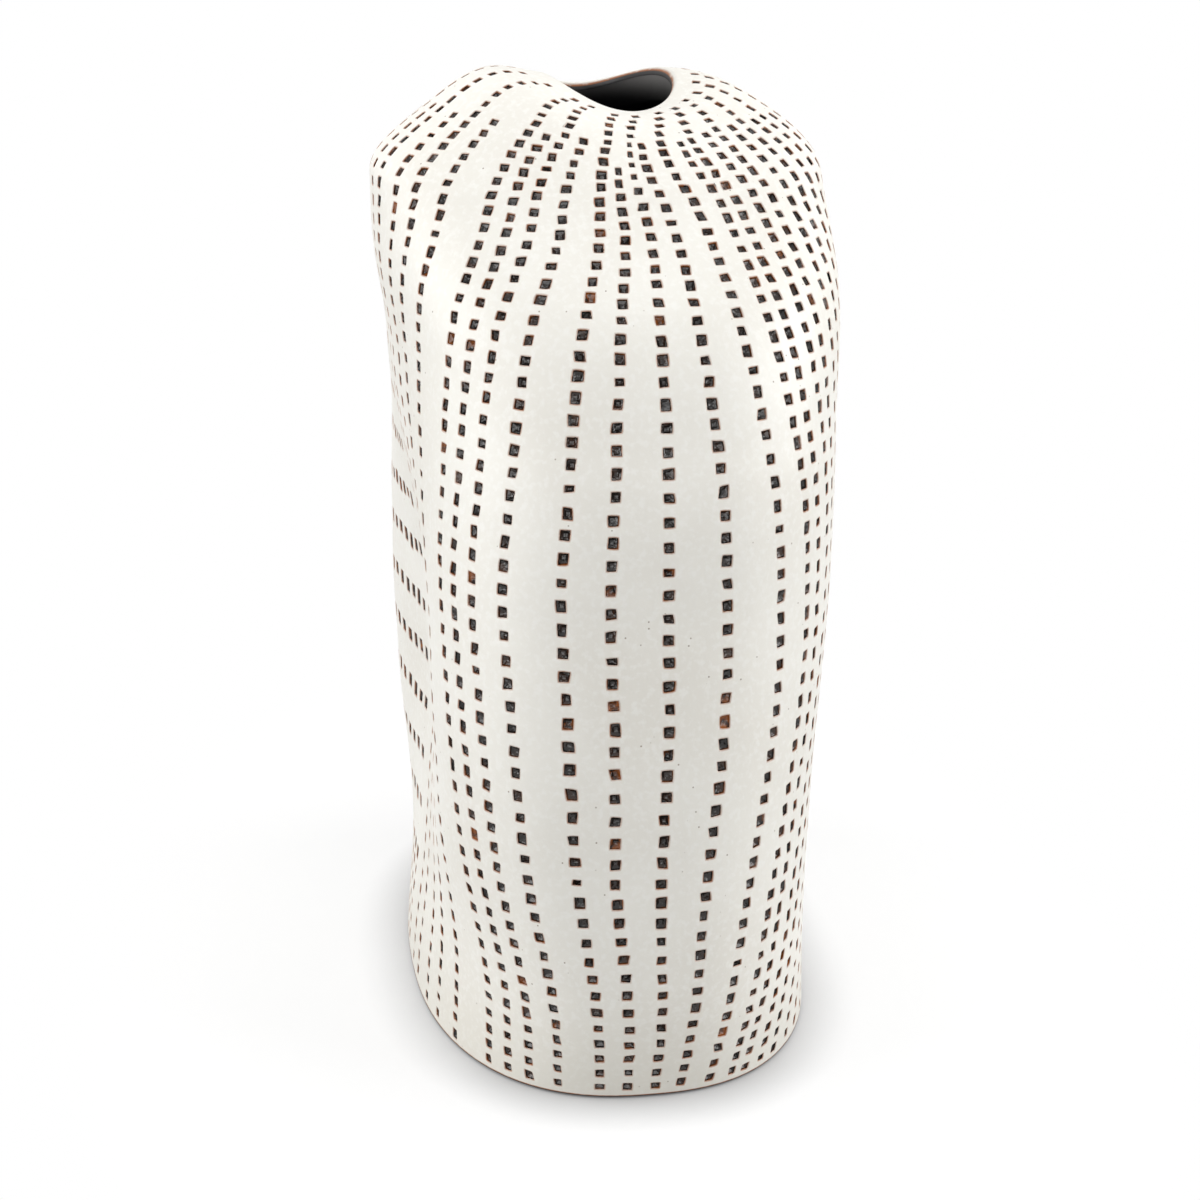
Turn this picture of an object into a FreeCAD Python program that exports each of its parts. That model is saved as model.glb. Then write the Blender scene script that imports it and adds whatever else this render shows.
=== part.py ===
import FreeCAD, Part
import math
import os

# Pillow vase: a closed, flattened form of dark clay on a flat foot, one broad face pressed in, with a small
# saddle-shaped mouth. White slip covers the outside and black glaze lines the inside.
# Frame: millimetres, +Z up, origin on the ground at the middle of the foot, length along X. The pressed-in
# broad face looks towards -Y.

Vector = FreeCAD.Vector
UP = Vector(0, 0, 1)

SIZES = (
    ("body_height", 150.0, "height that the wall's stations are shares of"),
    ("half_length", 62.0, "half of the plan's length"),
    ("half_width", 40.0, "half of the plan's width that the stations are shares of"),
    ("hollow_depth", 9.0, "how far the broad face is pressed in"),
    ("hollow_spread", 22.0, "reach of the pressed-in hollow along the length"),
    ("hollow_offset", 3.5, "hollow's middle from the vase's middle, along the length"),
    ("ledge_depth", 1.8, "how far the shoulder stands out above the hollow"),
    ("mouth_half_length", 13.3, "half of the mouth's length at the crest of its lip"),
    ("mouth_half_width", 10.8, "half of the mouth's width at the crest of its lip"),
    ("mouth_height", 151.0, "mean height of the lip's crest"),
    ("mouth_offset", 4.5, "mouth's middle from the vase's middle, towards the far end"),
    ("mouth_shift", 2.2, "mouth's middle from the vase's middle, away from the hollow"),
    ("mouth_saddle", 1.5, "how far the lip drops at the mouth's ends and rises at its sides"),
    ("mouth_lean", 0.9, "how far the lip rises away from the hollow"),
    ("mouth_pitch", 0.6, "how far the lip rises towards the far end"),
    ("lip_round", 1.2, "radius that the lip rolls over with"),
    ("tall_hump_height", 7.8, "hump between the mouth and the hollow"),
    ("tall_hump_spread", 9.1, "reach of that hump across the vase"),
    ("tall_hump_place", 12.5, "its crest from the vase's middle"),
    ("low_hump_height", 2.6, "hump on the mouth's other side"),
    ("low_hump_spread", 8.4, "reach of that hump across the vase"),
    ("low_hump_place", 11.8, "its crest from the vase's middle"),
    ("hump_offset", 3.0, "both crests from the vase's middle, towards the far end"),
    ("slip_thickness", 0.8, "white slip on the outside"),
    ("clay_thickness", 4.2, "clay wall"),
    ("glaze_thickness", 0.4, "black glaze on the inside"),
    ("slab_thickness", 6.0, "clay slab that closes the foot"),
    ("foot_wipe", 1.0, "bare clay left where the slip is wiped off above the ground"),
    ("foot_bevel", 0.7, "how far the foot's edge is drawn in at the ground"),
    ("blank_margin", 10.0, "how far a trimming block stands out past the plan"),
)

# Stations of the wall from the foot to the shoulder
height_shares = (0.0, 0.10, 0.30, 0.52, 0.70, 0.83, 0.93)
length_shares = (0.885, 0.955, 0.997, 0.970, 0.920, 0.780, 0.515)
width_shares = (0.845, 0.820, 0.880, 0.920, 0.885, 0.900, 0.905)
lean_shares = (0.0, 0.0, -0.050, -0.030, 0.020, 0.033, -0.008)
plan_powers = (2.40, 2.47, 2.58, 2.60, 2.58, 2.43, 2.23)

# Heights where the hollow starts, is full, starts to fade and is gone, and the ledge's height and reach
hollow_shares = (0.046, 0.376, 0.460, 0.740)
ledge_shares = (0.848, 0.055)
ledge_spread_share = 1.3
# How squarely a point has to face -Y for the hollow to start on it and to be full
facing_shares = (-0.05, 0.75)

mouth_turn = 15.0
dome_start_share = 0.79
dome_end_share = 0.855
# Where the humps are full on the dome, where they start to sink, and what the lip keeps of them
hump_shares = (0.4, 0.5, 0.4)
hump_stretch_share = 1.7
# From here to the mouth the layers turn from the dome's normal to straight up
upright_share = 0.6

# Rings that the outside and the inside run through between the foot and the crest, and strips round the vase
STRIPS = 48
SLOPE_STEP = 0.002
outer_runs = (0.09, 0.16, 0.24, 0.33, 0.42, 0.51, 0.60, 0.68, 0.76, 0.83, 0.89, 0.95, 1.0,
              1.15, 1.32, 1.50, 1.68, 1.85)
inner_runs = (0.18, 0.36, 0.54, 0.72, 0.87, 1.0, 1.25, 1.55, 1.85)
LIP_TURNS = (0.0, 30.0, 60.0, 90.0)


doc = FreeCAD.newDocument("pillow_vase")
sheet = doc.addObject("Spreadsheet::Sheet", "Sizes")
for row, (alias, value, meaning) in enumerate(SIZES, start=1):
    sheet.set(f"A{row}", meaning)
    sheet.set(f"B{row}", str(value))
    sheet.setAlias(f"B{row}", alias)
doc.recompute()
size = {alias: float(getattr(sheet, alias)) for alias, _, _ in SIZES}


# Shape of the outer surface

def ease(low, high, at):
    """0 below low, 1 above high, and a soft step between them."""
    step = min(max((at - low) / (high - low), 0.0), 1.0)
    return step * step * (3 - 2 * step)


def bell(distance):
    return math.exp(-distance * distance / 2)


def through(values, at):
    """The smooth curve through one value for each station, read at a share of the height."""
    spans = [high - low for low, high in zip(height_shares, height_shares[1:])]
    rises = [(high - low) / span for low, high, span in zip(values, values[1:], spans)]
    slopes = [rises[0]]
    for i in range(1, len(spans)):
        slopes.append((rises[i - 1] * spans[i] + rises[i] * spans[i - 1]) / (spans[i - 1] + spans[i]))
    slopes.append(rises[-1])
    i = max(k for k in range(len(spans)) if k == 0 or height_shares[k] <= at)
    step = (at - height_shares[i]) / spans[i]
    start, end = values[i], values[i + 1]
    pull = ease(0, 1, step)
    return (start + (end - start) * pull + step * (1 - step) ** 2 * spans[i] * slopes[i]
            - step * step * (1 - step) * spans[i] * slopes[i + 1])


def wall_point(angle, share):
    """A point of the wall: a rounded oblong plan with the hollow pressed in and the ledge above it."""
    across, along = math.sin(angle), math.cos(angle)
    power = through(plan_powers, share)
    reach = (abs(along) ** power + abs(across) ** power) ** (-1 / power)
    x = size["half_length"] * through(length_shares, share) * reach * along
    y = size["half_width"] * (through(lean_shares, share) + through(width_shares, share) * reach * across)
    start, full, fade, gone = hollow_shares
    facing = ease(facing_shares[0], facing_shares[1], -across)
    spread = (x - size["hollow_offset"]) / size["hollow_spread"]
    hollow = ease(start, full, share) * (1 - ease(fade, gone, share)) * bell(spread)
    ledge = bell((share - ledge_shares[0]) / ledge_shares[1]) * bell(spread / ledge_spread_share)
    y += facing * (size["hollow_depth"] * hollow - size["ledge_depth"] * ledge)
    return Vector(x, y, size["body_height"] * share)


def crest_point(angle):
    """A point of the lip's crest: a turned oval, lower at its ends than at its sides."""
    along = size["mouth_half_length"] * math.cos(angle)
    across = size["mouth_half_width"] * math.sin(angle)
    turn = math.radians(mouth_turn)
    x = along * math.cos(turn) - across * math.sin(turn) - size["mouth_offset"]
    y = along * math.sin(turn) + across * math.cos(turn) + size["mouth_shift"]
    z = (size["mouth_height"] - size["mouth_saddle"] * math.cos(2 * angle)
         + size["mouth_lean"] * math.sin(angle) - size["mouth_pitch"] * math.cos(angle))
    return Vector(x, y, z)


def inward(angle):
    """The level direction from the shoulder to the lip's crest."""
    way = crest_point(angle) - wall_point(angle, height_shares[-1])
    return Vector(way.x, way.y, 0).normalize()


def hump(point, height, spread, place):
    along = (point.x + size["hump_offset"]) / (hump_stretch_share * size[spread])
    across = (point.y - place) / size[spread]
    return size[height] * bell(math.hypot(along, across))


def dome_point(angle, step):
    """A point of the dome, which leaves the wall along its slope and comes level to the lip's crest."""
    foot = wall_point(angle, height_shares[-1])
    crest = crest_point(angle)
    slope = (foot - wall_point(angle, height_shares[-1] - SLOPE_STEP)).normalize()
    length = (crest - foot).Length
    point = foot + (crest - foot) * ease(0, 1, step)
    point += slope * (length * dome_start_share * step * (1 - step) ** 2)
    point -= inward(angle) * (length * dome_end_share * step * step * (1 - step))
    full, sink, kept = hump_shares
    swell = ease(0, full, step) * (1 - (1 - kept) * ease(sink, 1, step))
    tall = hump(point, "tall_hump_height", "tall_hump_spread", -size["tall_hump_place"])
    low = hump(point, "low_hump_height", "low_hump_spread", size["low_hump_place"])
    return point + UP * (swell * (tall + low))


def skin_point(angle, run):
    """A point of the outer surface: run goes from 0 at the foot to 1 at the shoulder and 2 at the crest."""
    if run <= 1:
        return wall_point(angle, height_shares[-1] * run)
    return dome_point(angle, run - 1)


def normal(angle, run):
    low, high = max(run - SLOPE_STEP, 0), min(run + SLOPE_STEP, 2)
    rise = skin_point(angle, high) - skin_point(angle, low)
    turn = skin_point(angle + SLOPE_STEP, run) - skin_point(angle - SLOPE_STEP, run)
    way = turn.cross(rise).normalize()
    upright = ease(1 + upright_share, 2, run)
    return (way * (1 - upright) + UP * upright).normalize()


# Rings and skins

ANGLES = [2 * math.pi * i / STRIPS for i in range(STRIPS)]


def level_ring(height, depth):
    """The ring where the layer that lies depth under the surface crosses a level plane near the foot."""
    points = []
    for angle in ANGLES:
        point = wall_point(angle, height / size["body_height"])
        way = normal(angle, height / size["body_height"] / height_shares[-1])
        points.append(point - Vector(way.x, way.y, 0).normalize() * depth)
    return points


def ring(run, depth):
    return [skin_point(angle, run) - normal(angle, run) * depth for angle in ANGLES]


def lip_ring(turn, depth):
    """A ring of the lip's roll, which turns from the crest down into the mouth."""
    points = []
    for angle in ANGLES:
        centre = dome_point(angle, 1) - UP * size["lip_round"]
        way = inward(angle) * math.sin(math.radians(turn)) + UP * math.cos(math.radians(turn))
        points.append(centre + way * (size["lip_round"] - depth))
    return points


def throat_ring(depth, inset):
    """The ring at the bottom of the mouth's throat, inset from the clay's face there."""
    reach = size["lip_round"] - size["slip_thickness"] + inset
    return [dome_point(angle, 1) + inward(angle) * reach - UP * depth for angle in ANGLES]


def outer_rings(depth):
    """The rings of a layer's outside from the ground over the lip's crest into the mouth."""
    rings = [level_ring(0, depth + size["foot_bevel"]), level_ring(size["foot_wipe"], depth),
             level_ring(size["slab_thickness"], depth)]
    return rings + [ring(run, depth) for run in outer_runs] + [lip_ring(turn, depth) for turn in LIP_TURNS]


def inner_rings(floor, depth, inset):
    """The rings of a layer's inside from a level floor up to the bottom of the mouth's throat."""
    return [level_ring(floor, depth)] + [ring(run, depth) for run in inner_runs] + [throat_ring(depth, inset)]


def strips(rings):
    """The four corners of each patch between one ring and the next."""
    for low, high in zip(rings, rings[1:]):
        for i in range(STRIPS):
            yield low[i - 1], low[i], high[i], high[i - 1]


def skin(rings):
    """A ruled face for each patch, for the surface that shows."""
    return [Part.makeRuledSurface(Part.makeLine(a, b), Part.makeLine(d, c)) for a, b, c, d in strips(rings)]


def facets(rings):
    """Two flat faces for each patch, for the surfaces between the layers."""
    faces = []
    for a, b, c, d in strips(rings):
        faces += [Part.Face(Part.makePolygon(corners)) for corners in ((a, b, c, a), (a, c, d, a))]
    return faces


def disc(points):
    return [Part.Face(Part.makePolygon(points + points[:1]))]


def closed_solid(faces):
    shell = Part.makeCompound(faces)
    shell.sewShape()
    solid = Part.Solid(Part.Shell(shell.Faces))
    if solid.Volume < 0:
        solid.reverse()
    return solid


def add_form(name, shape):
    form = doc.addObject("Part::Feature", name)
    form.Label = name
    form.Shape = shape
    form.Placement = FreeCAD.Placement()
    return form


def add_block(name, height):
    """A block under the vase, from the ground up to a named height, that trims what stands on it."""
    block = doc.addObject("Part::Box", name)
    block.Label = name
    block.setExpression("Length", "2 * (Sizes.half_length + Sizes.blank_margin)")
    block.setExpression("Width", "2 * (Sizes.half_width + Sizes.blank_margin)")
    block.setExpression("Height", f"Sizes.{height} + Sizes.blank_margin")
    block.setExpression("Placement.Base.x", "-Sizes.half_length - Sizes.blank_margin")
    block.setExpression("Placement.Base.y", "-Sizes.half_width - Sizes.blank_margin")
    block.setExpression("Placement.Base.z", "-Sizes.blank_margin")
    return block


def add_trimmed(kind, name, base, tool):
    trimmed = doc.addObject(kind, name)
    trimmed.Label = name
    trimmed.Base = base
    trimmed.Tool = tool
    return trimmed


slip = size["slip_thickness"]
clay = slip + size["clay_thickness"]
glaze = clay + size["glaze_thickness"]


def slip_coat():
    """White slip, from the wiped foot over the shoulder and the lip's roll into the mouth."""
    outside, inside = outer_rings(0)[1:], outer_rings(slip)[1:]
    faces = skin(outside) + facets(inside)
    return closed_solid(faces + facets([outside[0], inside[0]]) + facets([outside[-1], inside[-1]]))


def clay_shell():
    """Clay wall, from the slab to the lip, open at the foot and at the mouth."""
    outside, inside = outer_rings(slip)[2:], inner_rings(size["slab_thickness"], clay, 0)
    faces = facets(outside) + facets(inside)
    return closed_solid(faces + facets([outside[0], inside[0]]) + facets([outside[-1], inside[-1]]))


def glaze_lining():
    """Black glaze on the slab, the wall's inside and the mouth's throat."""
    floor, thickness = size["slab_thickness"], size["glaze_thickness"]
    outside = inner_rings(floor, clay, 0) + [lip_ring(LIP_TURNS[-1], slip)]
    inside = inner_rings(floor + thickness, glaze, thickness) + [lip_ring(LIP_TURNS[-1], slip - thickness)]
    faces = facets(outside) + facets(inside) + disc(outside[0]) + disc(inside[0])
    return closed_solid(faces + facets([outside[-1], inside[-1]]))


def foot_core():
    """The clay's outline at the foot, solid, from the ground to above the slab."""
    rings = outer_rings(slip)[:3]
    rings.append(level_ring(size["slab_thickness"] + size["blank_margin"], slip))
    return closed_solid(facets(rings) + disc(rings[0]) + disc(rings[-1]))


foot_form = add_form("foot_form", foot_core())
slab_block = add_block("slab_block", "slab_thickness")

parts = [
    add_form("white_slip_coat", slip_coat()),
    add_form("clay_wall", clay_shell()),
    add_trimmed("Part::Common", "base_slab", foot_form, slab_block),
    add_form("black_glaze_lining", glaze_lining()),
]

doc.recompute()
failed = [thing.Label for thing in doc.Objects if "Invalid" in thing.State or "Error" in thing.State]
failed += [part.Label for part in parts if part.Shape.isNull() or not part.Shape.isValid()]
if failed:
    raise RuntimeError("these did not build: " + ", ".join(failed))

os.makedirs("parts", exist_ok=True)
for part in parts:
    part.Shape.exportStep(f"parts/{part.Label}.step")
    box = part.Shape.BoundBox
    print(part.Label, len(part.Shape.Solids), "solid", round(part.Shape.Volume), "mm3",
          [round(v, 2) for v in (box.XMin, box.XMax, box.YMin, box.YMax, box.ZMin, box.ZMax)])
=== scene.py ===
import math
import bpy
import numpy as np
from mathutils import Matrix


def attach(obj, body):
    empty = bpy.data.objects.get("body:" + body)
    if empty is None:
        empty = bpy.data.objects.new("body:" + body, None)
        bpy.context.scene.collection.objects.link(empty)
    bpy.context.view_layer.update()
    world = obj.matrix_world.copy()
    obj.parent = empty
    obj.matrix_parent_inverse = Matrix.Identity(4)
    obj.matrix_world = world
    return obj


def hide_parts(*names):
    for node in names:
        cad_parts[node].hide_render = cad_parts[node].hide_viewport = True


# Pillow vase in the CAD model's frame: +Z up, length along X, pressed-in broad face towards -Y.
# Shapes and the camera's place are written in millimetres and taken to metres. Lamps are in metres.

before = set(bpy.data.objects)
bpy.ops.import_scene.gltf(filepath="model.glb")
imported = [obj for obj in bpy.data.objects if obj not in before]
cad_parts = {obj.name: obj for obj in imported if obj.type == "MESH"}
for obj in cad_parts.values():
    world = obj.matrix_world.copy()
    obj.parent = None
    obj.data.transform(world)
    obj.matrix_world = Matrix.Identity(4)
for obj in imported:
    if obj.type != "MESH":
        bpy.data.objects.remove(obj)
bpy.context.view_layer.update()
MM = 0.001
rng = np.random.default_rng(7)


# Base slab. A flat slab of dark stoneware that the maker cut out and luted under the wall.
# The slip is wiped off its foot, so it shows only as a thin dark line on the ground.

CLAY_DARK = (0.018, 0.012, 0.009)
CLAY_LIGHT = (0.045, 0.030, 0.021)


def new_material(name):
    """A material with its node tree and the shader that it starts with."""
    material = bpy.data.materials.new(name)
    material.use_nodes = True
    return material, material.node_tree, material.node_tree.nodes["Principled BSDF"]


def object_place(tree):
    """The place on the object, in metres of its own frame."""
    return tree.nodes.new("ShaderNodeTexCoord").outputs["Object"]


def noise(tree, scale, detail=2.0):
    """A noise texture over the object, finer with a larger scale."""
    node = tree.nodes.new("ShaderNodeTexNoise")
    node.inputs["Scale"].default_value = scale
    node.inputs["Detail"].default_value = detail
    tree.links.new(object_place(tree), node.inputs["Vector"])
    return node.outputs["Fac"]


def between(tree, source, low, high, to_low=0.0, to_high=1.0):
    """A socket that runs from to_low to to_high while the source runs from low to high."""
    node = tree.nodes.new("ShaderNodeMapRange")
    node.interpolation_type = "SMOOTHSTEP"
    tree.links.new(source, node.inputs["Value"])
    for socket, value in (("From Min", low), ("From Max", high), ("To Min", to_low), ("To Max", to_high)):
        node.inputs[socket].default_value = value
    return node.outputs["Result"]


def times(tree, first, second):
    """The product of two sockets, or of a socket and a number."""
    node = tree.nodes.new("ShaderNodeMath")
    node.operation = "MULTIPLY"
    for socket, value in zip(node.inputs, (first, second)):
        if isinstance(value, float):
            socket.default_value = value
        else:
            tree.links.new(value, socket)
    return node.outputs[0]


def tint(tree, share, base, colour):
    """The base colour or socket, turned to the given colour by a share."""
    node = tree.nodes.new("ShaderNodeMix")
    node.data_type = "RGBA"
    tree.links.new(share, node.inputs["Factor"])
    if isinstance(base, tuple):
        node.inputs["A"].default_value = (*base, 1)
    else:
        tree.links.new(base, node.inputs["A"])
    node.inputs["B"].default_value = (*colour, 1)
    return node.outputs["Result"]


def bumped(tree, height, strength, distance):
    """Normals of a surface that a height socket raises by up to the distance, in metres."""
    node = tree.nodes.new("ShaderNodeBump")
    tree.links.new(height, node.inputs["Height"])
    node.inputs["Strength"].default_value = strength
    node.inputs["Distance"].default_value = distance
    return node.outputs["Normal"]


dark_clay, tree, shader = new_material("dark_clay")
grain = noise(tree, scale=900.0, detail=4.0)
tree.links.new(tint(tree, grain, CLAY_DARK, CLAY_LIGHT), shader.inputs["Base Color"])
shader.inputs["Roughness"].default_value = 0.85
tree.links.new(bumped(tree, grain, strength=0.4, distance=0.2 * MM), shader.inputs["Normal"])
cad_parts["base_slab"].data.materials.clear()
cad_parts["base_slab"].data.materials.append(dark_clay)


# Clay wall. A slab of dark stoneware, bent round into a pillow, closed over the top and pressed in on one
# broad face by hand. It lies wholly under the slip and the glaze, far enough in to clear the punched pits.

# The body, and its plan at each station up the wall as shares of its half length and half width
BODY_HEIGHT, HALF_LENGTH, HALF_WIDTH = 150.0, 62.0, 40.0
SHOULDER = 0.93
STATIONS = (0.0, 0.10, 0.30, 0.52, 0.70, 0.83, SHOULDER)
LENGTHS = (0.885, 0.955, 0.997, 0.970, 0.920, 0.780, 0.515)
WIDTHS = (0.845, 0.820, 0.880, 0.920, 0.885, 0.900, 0.905)
LEANS = (0.0, 0.0, -0.050, -0.030, 0.020, 0.033, -0.008)
POWERS = (2.40, 2.47, 2.58, 2.60, 2.58, 2.43, 2.23)
# The hollow in the broad face and the ledge above it: their place along X and up the body, and their reach
HOLLOW_DEPTH, HOLLOW_X, HOLLOW_SPREAD = 9.0, 3.5, 22.0
HOLLOW_FOOT, HOLLOW_FULL, HOLLOW_FADE, HOLLOW_TOP = 0.046, 0.376, 0.46, 0.74
LEDGE_REACH, LEDGE_SHARE, LEDGE_SPREAD, LEDGE_STRETCH = 1.8, 0.848, 0.055, 1.3
# The mouth: a turned oval that dips at its ends by the saddle and leans a little both ways
MOUTH_HALF_LENGTH, MOUTH_HALF_WIDTH, MOUTH_TURN = 13.3, 10.8, math.radians(15)
MOUTH_X, MOUTH_Y, MOUTH_HEIGHT = -4.5, 2.2, 151.0
MOUTH_SADDLE, MOUTH_LEAN_Y, MOUTH_LEAN_X = 1.5, 0.9, 0.6
# The dome, and the height, spread and place along Y of the swell on either side of the mouth
DOME_RISE, DOME_FULLNESS = 0.79, 0.855
SWELLS = ((7.8, 9.1, -12.5), (2.6, 8.4, 11.8))
SWELL_X, SWELL_STRETCH, SWELL_LOSS = -3.0, 1.7, 0.6
# The radius of the lip's roll, and the run above which the layers lie straight under each other
LIP_ROUND = 1.2
LEVEL_FROM = 1.6
# The thicknesses of the layers, the slab's top, and how deep the wall lies, a hair short of the glaze inside
SLIP, CLAY, GLAZE = 0.8, 4.2, 0.4
WALL_INSIDE = SLIP + CLAY
SLAB_TOP = 6.0
PIT_CLEARANCE = 1.4
SHORT_OF_GLAZE = 0.05
WALL_TOP_RUN = 1.88
STEP = 0.002


def ease(low, high, at):
    """0 below low, 1 above high, and a soft step between them."""
    share = np.clip((at - low) / (high - low), 0, 1)
    return share * share * (3 - 2 * share)


def bell(distance):
    """1 at no distance, falling away on both sides."""
    return np.exp(-distance * distance / 2)


def through(stations, values, at):
    """The smooth curve through one value for each station."""
    stations, values = np.array(stations), np.array(values)
    spans = np.diff(stations)
    rises = np.diff(values) / spans
    inner = (rises[:-1] * spans[1:] + rises[1:] * spans[:-1]) / (spans[:-1] + spans[1:])
    slopes = np.concatenate([rises[:1], inner, rises[-1:]])
    i = np.clip(np.searchsorted(stations, at, side="right") - 1, 0, len(spans) - 1)
    share = (at - stations[i]) / spans[i]
    return (values[i] + (values[i + 1] - values[i]) * ease(0, 1, share)
            + share * (1 - share) ** 2 * spans[i] * slopes[i]
            - share * share * (1 - share) * spans[i] * slopes[i + 1])


def unit(vectors):
    """The same directions, one long."""
    return vectors / np.linalg.norm(vectors, axis=-1, keepdims=True)


def wall_point(angle, share):
    """A rounded oblong plan with the hollow pressed in and a ledge above it, at a share of the height."""
    across, along = np.sin(angle), np.cos(angle)
    power = through(STATIONS, POWERS, share)
    reach = (np.abs(along) ** power + np.abs(across) ** power) ** (-1 / power)
    x = HALF_LENGTH * through(STATIONS, LENGTHS, share) * reach * along
    y = HALF_WIDTH * (through(STATIONS, LEANS, share) + through(STATIONS, WIDTHS, share) * reach * across)
    facing = ease(-0.05, 0.75, -across)
    spread = (x - HOLLOW_X) / HOLLOW_SPREAD
    pressed = ease(HOLLOW_FOOT, HOLLOW_FULL, share) * (1 - ease(HOLLOW_FADE, HOLLOW_TOP, share))
    ledge = bell((share - LEDGE_SHARE) / LEDGE_SPREAD) * bell(spread / LEDGE_STRETCH)
    y = y + facing * (HOLLOW_DEPTH * (pressed * bell(spread)) - LEDGE_REACH * ledge)
    return np.stack([x, y, BODY_HEIGHT * share], -1)


def crest_point(angle):
    """The lip's crest: a turned oval, lower at its ends than at its sides."""
    along, across = MOUTH_HALF_LENGTH * np.cos(angle), MOUTH_HALF_WIDTH * np.sin(angle)
    height = MOUTH_HEIGHT - MOUTH_SADDLE * np.cos(2 * angle)
    height = height + MOUTH_LEAN_Y * np.sin(angle) - MOUTH_LEAN_X * np.cos(angle)
    return np.stack([along * math.cos(MOUTH_TURN) - across * math.sin(MOUTH_TURN) + MOUTH_X,
                     along * math.sin(MOUTH_TURN) + across * math.cos(MOUTH_TURN) + MOUTH_Y, height], -1)


def inward(angle):
    """The level direction from the shoulder to the lip."""
    way = crest_point(angle) - wall_point(angle, SHOULDER + 0 * angle)
    way[..., 2] = 0
    return unit(way)


def dome_point(angle, share):
    """The dome leaves the wall along its slope, swells beside the mouth and comes level to the crest."""
    foot, crest = wall_point(angle, SHOULDER + 0 * angle), crest_point(angle)
    slope = unit(foot - wall_point(angle, SHOULDER - STEP + 0 * angle))
    length = np.linalg.norm(crest - foot, axis=-1, keepdims=True)
    step = share[..., None]
    point = (foot + (crest - foot) * ease(0, 1, step) + slope * (length * DOME_RISE * step * (1 - step) ** 2)
             - inward(angle) * (length * DOME_FULLNESS * step * step * (1 - step)))
    for height, spread, place in SWELLS:
        away = np.hypot((point[..., 0] - SWELL_X) / (SWELL_STRETCH * spread),
                        (point[..., 1] - place) / spread)
        point[..., 2] += height * bell(away) * ease(0, 0.4, share) * (1 - SWELL_LOSS * ease(0.5, 1, share))
    return point


def surface(angle, run):
    """A point of the outer surface: run goes from 0 at the foot to 1 at the shoulder and 2 at the crest."""
    angle, run = np.broadcast_arrays(np.asarray(angle, float), np.asarray(run, float))
    wall = wall_point(angle, SHOULDER * np.minimum(run, 1))
    return np.where((run <= 1)[..., None], wall, dome_point(angle, np.clip(run - 1, 0, 1)))


def outward(angle, run):
    """The surface's normal."""
    rise = surface(angle, np.minimum(run + STEP, 2)) - surface(angle, np.maximum(run - STEP, 0))
    return unit(np.cross(surface(angle + STEP, run) - surface(angle - STEP, run), rise))


def run_at_height(height):
    """The run at a height on the wall."""
    return height / BODY_HEIGHT / SHOULDER


def layer_point(angle, run, depth):
    """A point that lies depth under the surface, straight down where the lip turns level."""
    upright = ease(LEVEL_FROM, 2, run)[..., None]
    way = unit(outward(angle, run) * (1 - upright) + np.array((0, 0, 1.0)) * upright)
    return surface(angle, run) - way * depth


def lip_roll(angle, turn):
    """Points of the lip's roll, from the crest at 0 degrees into the mouth at 90, and their normals."""
    way = inward(angle) * math.sin(math.radians(turn)) + np.array((0, 0, math.cos(math.radians(turn))))
    return dome_point(angle, 1 + 0 * angle) + (way - np.array((0, 0, 1.0))) * LIP_ROUND, way


def make_mesh(name, points, faces, smooth=True):
    """A mesh object in metres, from points in millimetres."""
    mesh = bpy.data.meshes.new(name)
    mesh.from_pydata((np.asarray(points) * MM).tolist(), [], faces)
    mesh.polygons.foreach_set("use_smooth", [smooth] * len(mesh.polygons))
    mesh.update()
    thing = bpy.data.objects.new(name, mesh)
    bpy.context.scene.collection.objects.link(thing)
    return thing


def ring_faces(rings, count):
    """The quads of a tube from one closed ring of points to the next."""
    faces = []
    for low in range(0, (rings - 1) * count, count):
        high = low + count
        for i in range(count):
            after = (i + 1) % count
            faces.append((low + i, low + after, high + after, high + i))
    return faces


around = np.radians(np.arange(0, 360, 3.0))


def layer_ring(run, depth):
    """A closed ring of points all round the vase."""
    return layer_point(around, run + 0 * around, depth)


up_wall = np.linspace(run_at_height(SLAB_TOP), 1, 40)
up_runs = np.concatenate([up_wall, np.linspace(1, WALL_TOP_RUN, 22)[1:]])
outer = [layer_ring(run, PIT_CLEARANCE) for run in up_runs]
inner = [layer_ring(run, WALL_INSIDE - SHORT_OF_GLAZE) for run in up_runs[::-1]]
rings = outer + inner + outer[:1]
clay_wall = make_mesh("clay_wall_shell", np.concatenate(rings), ring_faces(len(rings), len(around)))
clay_wall.data.materials.append(dark_clay)
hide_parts("clay_wall")
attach(clay_wall, "root")


# Glaze lining. Black glaze, poured in and out again, that coats the slab, the wall's inside and the throat.
# It ends just below the lip, where it meets the slip in a thin rust-brown line.

GLAZE_BLACK = (0.006, 0.006, 0.007)
GLAZE_CLOUD = (0.020, 0.019, 0.020)
# Painted reflection: the grey that stands in for the white surroundings mirrored in the glaze near the lip
GLAZE_PAINTED_REFLECTION = (0.20, 0.195, 0.19)
LINING = WALL_INSIDE + GLAZE
LINING_TOP_RUN = 1.85
THROAT_REACH = LIP_ROUND - SLIP + GLAZE
THROAT_TOP = LIP_ROUND + 1.0
UNDER_SLIP = 0.1


def height_above(tree):
    """The height over the ground, in metres."""
    parts = tree.nodes.new("ShaderNodeSeparateXYZ")
    tree.links.new(object_place(tree), parts.inputs["Vector"])
    return parts.outputs["Z"]


black_glaze, tree, shader = new_material("black_glaze")
cloud = noise(tree, scale=60.0, detail=3.0)
colour = tint(tree, cloud, GLAZE_BLACK, GLAZE_CLOUD)
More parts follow.
